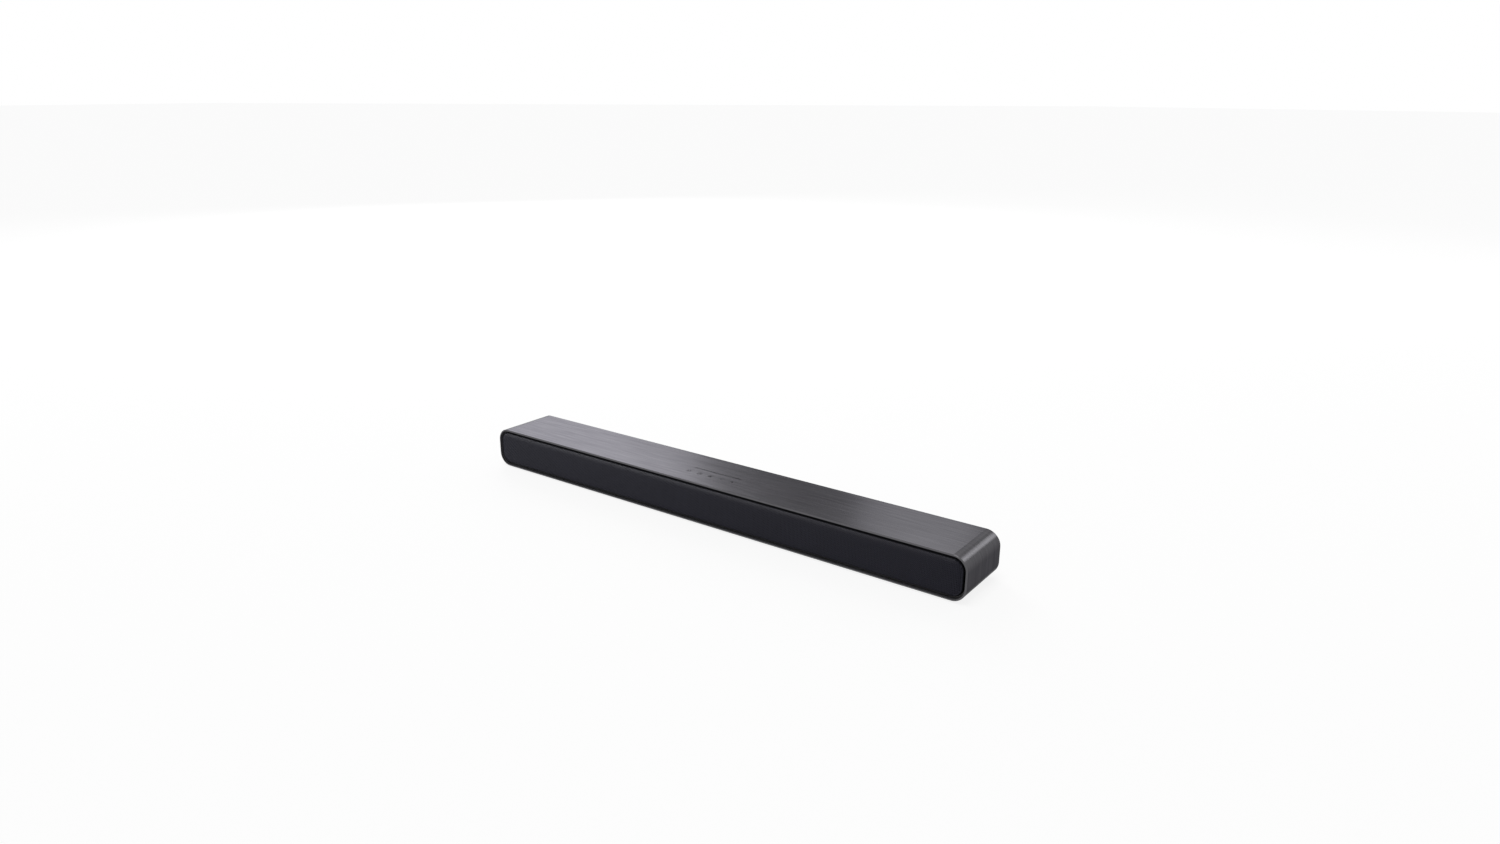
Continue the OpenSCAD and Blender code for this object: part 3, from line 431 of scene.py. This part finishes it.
def grilleTree(plainCell, holedCell, material):
    tree = bpy.data.node_groups.new("perforatedSheet", "GeometryNodeTree")
    face = tree.interface
    face.new_socket("Geometry", in_out="OUTPUT", socket_type="NodeSocketGeometry")
    face.new_socket("Geometry", in_out="INPUT", socket_type="NodeSocketGeometry")
    for label in (*grilleInputs, "Side"):
        face.new_socket(label, in_out="INPUT", socket_type="NodeSocketFloat")
    given = tree.nodes.new("NodeGroupInput").outputs
    pitch = given["Pitch"]
    columnStep = maths(tree, "MULTIPLY", pitch, math.sqrt(3) / 2)
    columns = maths(tree, "CEIL", maths(tree, "DIVIDE", given["Half Wide"], columnStep))
    rows = maths(tree, "CEIL", maths(tree, "DIVIDE", given["Half High"], pitch))
    # a grid of points in X and Y counts columns and rows; they are placed from their counters
    countX = maths(tree, "MULTIPLY_ADD", columns, 2.0, 1.0)
    countY = maths(tree, "MULTIPLY_ADD", rows, 2.0, 1.0)
    grid = addNode(tree, "GeometryNodeMeshGrid", Vertices_X=countX, Vertices_Y=countY).outputs[0]
    points = addNode(tree, "GeometryNodeMeshToPoints", Mesh=grid).outputs[0]
    index = addNode(tree, "GeometryNodeInputIndex").outputs[0]
    column = maths(tree, "FLOOR", maths(tree, "DIVIDE", maths(tree, "ADD", index, 0.5), countY))
    row = maths(tree, "SUBTRACT", index, maths(tree, "MULTIPLY", column, countY))
    columnFromMiddle = maths(tree, "SUBTRACT", column, columns)
    odd = maths(tree, "FLOORED_MODULO", columnFromMiddle, 2.0)
    x = maths(tree, "MULTIPLY", maths(tree, "ADD", columnFromMiddle, 0.5), columnStep)
    fromMiddle = maths(tree, "SUBTRACT", maths(tree, "ROUND", row), rows)
    z = maths(tree, "MULTIPLY", maths(tree, "ADD", fromMiddle, maths(tree, "MULTIPLY_ADD", odd, 0.5, 0.25)), pitch)
    spot = addNode(tree, "ShaderNodeCombineXYZ", X=x, Z=z).outputs[0]
    points = addNode(tree, "GeometryNodeSetPosition", Geometry=points, Position=spot).outputs[0]

    def inside(xs, zs):
        # distance inwards from the rounded outline
        across = clearOf(tree, xs, maths(tree, "SUBTRACT", given["Half Wide"], given["Corner"]))
        upward = clearOf(tree, zs, maths(tree, "SUBTRACT", given["Half High"], given["Corner"]))
        far = cornerReach(tree, across, upward)
        near = maths(tree, "MINIMUM", maths(tree, "MAXIMUM", across, upward), 0.0)
        return maths(tree, "SUBTRACT", given["Corner"], maths(tree, "ADD", far, near))

    here = addNode(tree, "ShaderNodeSeparateXYZ", Vector=addNode(tree, "GeometryNodeInputPosition").outputs[0])
    deep = inside(here.outputs[0], here.outputs[2])
    outer = maths(tree, "SUBTRACT", given["First Hole"], maths(tree, "MULTIPLY", pitch, given["Plain Rim"]))
    drop = maths(tree, "LESS_THAN", deep, outer)
    wrongSide = maths(tree, "LESS_THAN", maths(tree, "MULTIPLY", here.outputs[0], given["Side"]), 0.0)
    points = addNode(tree, "GeometryNodeDeleteGeometry", Geometry=points,
                     Selection=maths(tree, "MAXIMUM", drop, wrongSide)).outputs[0]
    holed = maths(tree, "GREATER_THAN", deep, given["First Hole"])
    plain = maths(tree, "SUBTRACT", 1.0, holed)
    parts = []
    for cell, selection in ((holedCell, holed), (plainCell, plain)):
        shape = addNode(tree, "GeometryNodeObjectInfo", Object=cell).outputs["Geometry"]
        parts.append(addNode(tree, "GeometryNodeInstanceOnPoints", Points=points, Selection=selection,
                             Instance=shape).outputs[0])
    joined = tree.nodes.new("GeometryNodeJoinGeometry")
    for part in parts:
        tree.links.new(part, joined.inputs[0])
    solid = addNode(tree, "GeometryNodeRealizeInstances", Geometry=joined.outputs[0]).outputs[0]
    solid = addNode(tree, "GeometryNodeMergeByDistance", Geometry=solid, Distance=given["Weld"]).outputs[0]

    def short(reach):
        # square of the share of a reach that is still to go, 1 at the edge and 0 past the reach
        share = maths(tree, "SUBTRACT", 1.0, maths(tree, "DIVIDE", deep, reach))
        share = maths(tree, "MINIMUM", maths(tree, "MAXIMUM", share, 0.0), 1.0)
        return maths(tree, "MULTIPLY", share, share)

    # the flat sheet is drawn over the pillow form
    arc = maths(tree, "SQRT", maths(tree, "SUBTRACT", 1.0, short(given["Edge Reach"])))
    rounded = maths(tree, "SUBTRACT", 1.0, arc)
    rest = maths(tree, "SUBTRACT", given["Crown"], maths(tree, "ADD", given["Bulge"], given["Edge"]))
    back = maths(tree, "MULTIPLY_ADD", rounded, given["Edge"], maths(tree, "MULTIPLY", short(given["Roll"]), rest))
    back = maths(tree, "MULTIPLY_ADD", short(given["Bulge Reach"]), given["Bulge"], back)
    y = maths(tree, "ADD", maths(tree, "ADD", here.outputs[1], back), given["Flat"])
    moved = addNode(tree, "ShaderNodeCombineXYZ", X=here.outputs[0], Y=y,
                    Z=maths(tree, "ADD", here.outputs[2], given["Middle"])).outputs[0]
    solid = addNode(tree, "GeometryNodeSetPosition", Geometry=solid, Position=moved).outputs[0]
    painted = addNode(tree, "GeometryNodeSetMaterial", Geometry=solid, Material=material).outputs[0]
    output = tree.nodes.new("NodeGroupOutput")
    tree.links.new(painted, output.inputs[0])
    return tree


def grownPiece(name, tree, values, material):
    # runs a tree on an empty mesh and keeps the result as a plain mesh
    carrier = stand(name + "Carrier", bpy.data.meshes.new(name + "Carrier"))
    modifier = carrier.modifiers.new("grow", "NODES")
    modifier.node_group = tree
    for item in tree.interface.items_tree:
        if item.in_out == "INPUT" and item.name in values:
            modifier[item.identifier] = values[item.name]
    carrier.update_tag()
    bpy.context.view_layer.update()
    grown = carrier.evaluated_get(bpy.context.evaluated_depsgraph_get())
    mesh = bpy.data.meshes.new_from_object(grown)
    mesh.name = name
    carrier.modifiers.remove(modifier)
    bpy.data.objects.remove(carrier)
    if not mesh.materials:
        mesh.materials.append(material)
    print(name, len(mesh.vertices), "vertices", len(mesh.polygons), "faces")
    return stand(name, mesh)


def roundedLoop(halfWide, halfHigh, corner, arc=10):
    # points round a rounded rectangle in X and Z
    loop = []
    for quarter, (sx, sz) in enumerate(((1, 1), (-1, 1), (-1, -1), (1, -1))):
        for k in range(arc + 1):
            a = math.radians(90 * (quarter + k / arc))
            loop.append((sx * (halfWide - corner) + corner * math.cos(a),
                         sz * (halfHigh - corner) + corner * math.sin(a)))
    return loop


def grilleEdge(spec, material):
    # plain rolled border that the punched field ends in, and the skirt behind it
    inner = spec["firstHole"] - spec["borderRim"] * spec["pitch"] + spec["borderOver"]
    steps = spec["borderSteps"]
    depths = [inner * (k / steps) ** spec["borderCrowding"] for k in range(steps + 1)]

    def fallBack(deep, thick):
        rounded = 1 - math.sqrt(1 - (1 - min(1, deep / spec["edgeReach"])) ** 2)
        rolled = (1 - min(1, deep / spec["roll"])) ** 2
        bulged = (1 - min(1, deep / spec["bulgeReach"])) ** 2
        rest = spec["crown"] - spec["bulge"] - spec["edge"]
        return spec["flat"] + spec["edge"] * rounded + rest * rolled + spec["bulge"] * bulged + thick

    skirtEnd = spec["flat"] + spec["crown"] + spec["skirt"]
    profile = [(d, fallBack(d, -spec["borderProud"])) for d in reversed(depths)]
    profile += [(0.0, skirtEnd), (spec["sheet"], skirtEnd), (spec["sheet"], fallBack(0, spec["hemInside"])),
                (inner, fallBack(inner, spec["sheet"]))]
    vertices, faces = [], []
    for deep, y in profile:
        loop = roundedLoop(spec["halfWide"] - deep, spec["halfHigh"] - deep, spec["corner"] - deep)
        vertices += [(x, y, z + spec["middle"]) for x, z in loop]
    rings, count = len(profile), len(loop)
    for r in range(rings):
        for k in range(count):
            n = (k + 1) % count
            nextRing = (r + 1) % rings
            faces.append((r * count + k, r * count + n, nextRing * count + n, nextRing * count + k))
    return meshPiece("grilleEdge", vertices, faces, material, True)


def makeGrille(spec):
    holed = cellObject("holedCell", spec["pitch"], spec["holeRadius"], spec["sheet"])
    plain = cellObject("plainCell", spec["pitch"], 0, spec["sheet"])
    for cell in (holed, plain):
        bpy.context.collection.objects.link(cell)
    paint = finishes["grille"]
    tree = grilleTree(plain, holed, paint)
    pieces = []
    for name, side in (("grilleLeft", -1.0), ("grilleRight", 1.0)):
        values = {label: spec[key] for label, key in grilleInputs.items()}
        pieces.append(grownPiece(name, tree, {**values, "Side": side}, paint))
    # the border and skirt take the painted-shade copy of the grille's paint
    pieces.append(grilleEdge(spec, borderPaint))
    for cell in (holed, plain):
        bpy.data.objects.remove(cell)
    for piece in pieces:
        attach(piece, "bar")
        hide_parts("grille")


makeGrille(grilleSpec)
print("grille grown")

scrimSpec = {"columns": 160, "rows": 10, "corner": 13 * mm}


def makeScrim(spec):
    low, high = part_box("grille_scrim")
    halfWide, halfHigh = (high[0] - low[0]) / 2, (high[2] - low[2]) / 2
    middle = (high[2] + low[2]) / 2
    y = (low[1] + high[1]) / 2
    vertices, faces = [], []
    for i in range(spec["columns"] + 1):
        x = -halfWide + 2 * halfWide * i / spec["columns"]
        lift = max(0.0, abs(x) - (halfWide - spec["corner"]))
        reach = halfHigh - spec["corner"] + math.sqrt(max(0.0, spec["corner"] ** 2 - lift ** 2))
        for j in range(spec["rows"] + 1):
            vertices.append((x, y, middle - reach + 2 * reach * j / spec["rows"]))
    across = spec["rows"] + 1
    for i in range(spec["columns"]):
        for j in range(spec["rows"]):
            a = i * across + j
            faces.append((a, a + across, a + across + 1, a + 1))
    piece = meshPiece("scrim", vertices, faces, finishes["scrim"], True)
    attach(piece, "bar")
    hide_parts("grille_scrim")


makeScrim(scrimSpec)
print("scrim stretched")

glyphSpec = {"size": 2.9 * mm, "line": 0.62 * mm, "lift": 0.03 * mm, "thick": 0.06 * mm}
glyphInk = grained("glyphInk", (0.01, 0.01, 0.011), 0, 0.85, 2500, 0.2, Specular_IOR_Level=0.05)


def arcStroke(cx, cy, r, start, end, steps=20):
    return [(cx + r * math.cos(math.radians(start + (end - start) * k / steps)),
             cy + r * math.sin(math.radians(start + (end - start) * k / steps))) for k in range(steps + 1)]


# strokes of each key's sign, in shares of its size
glyphs = {
    "key_power": [arcStroke(0, -0.05, 0.8, 125, 415), [(0, 0.25), (0, 1.0)]],
    "key_source": [[(0.35, 0.8), (-0.85, 0.8), (-0.85, -0.8), (0.35, -0.8)], [(-0.25, 0), (0.95, 0)],
                   [(0.5, 0.42), (0.95, 0), (0.5, -0.42)]],
    "key_pairing": [arcStroke(-0.38, 0, 0.56, 0, 360), arcStroke(0.38, 0, 0.56, 0, 360)],
    "key_volume_down": [[(-0.85, 0), (0.85, 0)]],
    "key_volume_up": [[(-0.85, 0), (0.85, 0)], [(0, -0.85), (0, 0.85)]],
}


def makeGlyph(key, strokes, spec):
    low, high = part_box(key)
    cx, cy = (low[0] + high[0]) / 2, (low[1] + high[1]) / 2
    work = bmesh.new()
    half = spec["line"] / 2
    for stroke in strokes:
        pts = [Vector((x * spec["size"], y * spec["size"])) for x, y in stroke]
        closed = (pts[0] - pts[-1]).length < 1e-7
        if closed:
            pts = pts[:-1]
        rims = []
        for k, p in enumerate(pts):
            before = pts[k - 1] if (k or closed) else p
            after = pts[(k + 1) % len(pts)] if (k + 1 < len(pts) or closed) else p
            way = (after - before).normalized()
            side = Vector((-way.y, way.x)) * half
            rims.append([work.verts.new((cx + q.x, cy + q.y, high[2] + z)) for q in (p + side, p - side)
                         for z in (spec["lift"] - spec["thick"], spec["lift"])])
        pairs = list(zip(rims, rims[1:])) + ([(rims[-1], rims[0])] if closed else [])
        for a, b in pairs:
            work.faces.new((a[1], a[3], b[3], b[1]))
            work.faces.new((a[0], b[0], b[2], a[2]))
            work.faces.new((a[0], a[1], b[1], b[0]))
            work.faces.new((a[2], b[2], b[3], a[3]))
        if not closed:
            work.faces.new((rims[0][0], rims[0][2], rims[0][3], rims[0][1]))
            work.faces.new((rims[-1][0], rims[-1][1], rims[-1][3], rims[-1][2]))
    bmesh.ops.recalc_face_normals(work, faces=work.faces)
    mesh = bpy.data.meshes.new("glyph_" + key)
    work.to_mesh(mesh)
    work.free()
    mesh.materials.append(glyphInk)
    piece = stand("glyph_" + key, mesh)
    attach(piece, key)


for key, strokes in glyphs.items():
    makeGlyph(key, strokes, glyphSpec)
print("glyphs drawn")

stageSpec = {"floorSize": 30.0, "floorShade": 0.85, "paperShare": 0.85, "skyLight": 0.42}


def seenDirectly(tree):
    # 1 for rays that show the backdrop itself: to the camera, in metal and through glass
    ray = addNode(tree, "ShaderNodeLightPath").outputs
    return maths(tree, "MAXIMUM", ray["Is Camera Ray"],
                 maths(tree, "MAXIMUM", ray["Is Glossy Ray"], ray["Is Transmission Ray"]))


def backdropMaterial(name, shade, share):
    # white paper: mostly its own white, the rest takes light and the object's shadow
    material = bpy.data.materials.new(name)
    material.use_nodes = True
    tree = material.node_tree
    tree.nodes.remove(tree.nodes["Principled BSDF"])
    diffuse = addNode(tree, "ShaderNodeBsdfDiffuse", Color=(shade, shade, shade, 1))
    glow = addNode(tree, "ShaderNodeEmission", Color=(1, 1, 1, 1), Strength=1.0)
    mix = addNode(tree, "ShaderNodeMixShader", i0=maths(tree, "MULTIPLY", seenDirectly(tree), share),
                  i1=diffuse.outputs[0], i2=glow.outputs[0])
    tree.links.new(mix.outputs[0], tree.nodes["Material Output"].inputs[0])
    return material


def makeStage(spec):
    size = spec["floorSize"]
    floor = meshPiece("floor", [(-size, -size, 0), (size, -size, 0), (size, size, 0), (-size, size, 0)],
                      [(0, 1, 2, 3)], backdropMaterial("floorPaper", spec["floorShade"], spec["paperShare"]))


def makeWorld(spec):
    world = bpy.data.worlds.new("studio")
    bpy.context.scene.world = world
    world.use_nodes = True
    tree = world.node_tree
    back = tree.nodes["Background"]
    back.inputs[0].default_value = (1, 1, 1, 1)
    tree.links.new(maths(tree, "MAXIMUM", seenDirectly(tree), spec["skyLight"]), back.inputs[1])


lampAim = Vector((0, 0, 0.03))
grillePieces = ("grilleLeft", "grilleRight", "grilleEdge")
softboxes = [
    # name, azimuth left of straight back, height angle, distance, width, height, radiance, pieces lit if not all
    ("backLeft", 51.6, 24, 4.0, 1.6, 2.6, 4.1, None),
    ("backFarLeft", 56.5, 24, 3.9, 1.5, 2.6, 1.7, None),
    ("backRight", 21.6, 27, 3.85, 0.6, 2.4, 1.8, None),
    ("backMiddle", 6, 31, 4.0, 0.9, 1.0, 0.45, None),
    ("behindRight", -23, 24, 4.0, 1.3, 1.0, 2.6, None),
    # on the metal this one would only be a glare seen from behind
    ("frontLow", 144, 10, 3.0, 1.6, 0.4, 58.0, grillePieces),
]
keyLight = {"azimuth": 165, "height": 80, "strength": 1.4, "softness": 30}


def aimed(azimuth, height, distance):
    a, e = math.radians(azimuth), math.radians(height)
    return Vector((-math.sin(a) * math.cos(e), math.cos(a) * math.cos(e), math.sin(e))) * distance


def lightOnly(lamp, names):
    group = bpy.data.collections.new(lamp.name + "Only")
    for name in names:
        group.objects.link(bpy.data.objects[name])
    lamp.light_linking.receiver_collection = group


def makeLamps():
    for name, azimuth, height, distance, wide, high, radiance, lit in softboxes:
        data = bpy.data.lights.new(name, "AREA")
        data.shape = "RECTANGLE"
        data.size, data.size_y = wide, high
        data.energy = radiance * math.pi * wide * high
        lamp = stand(name, data)
        lamp.location = aimed(azimuth, height, distance)
        lamp.rotation_euler = (lampAim - lamp.location).to_track_quat("-Z", "Y").to_euler()
        if lit:
            lightOnly(lamp, lit)
    data = bpy.data.lights.new("key", "SUN")
    data.energy = keyLight["strength"]
    data.angle = math.radians(keyLight["softness"])
    lamp = stand("key", data)
    lamp.rotation_euler = (-aimed(keyLight["azimuth"], keyLight["height"], 1)).to_track_quat("-Z", "Y").to_euler()


makeStage(stageSpec)
makeWorld(stageSpec)
makeLamps()
bpy.context.scene.view_settings.view_transform = "Standard"
print("stage set")
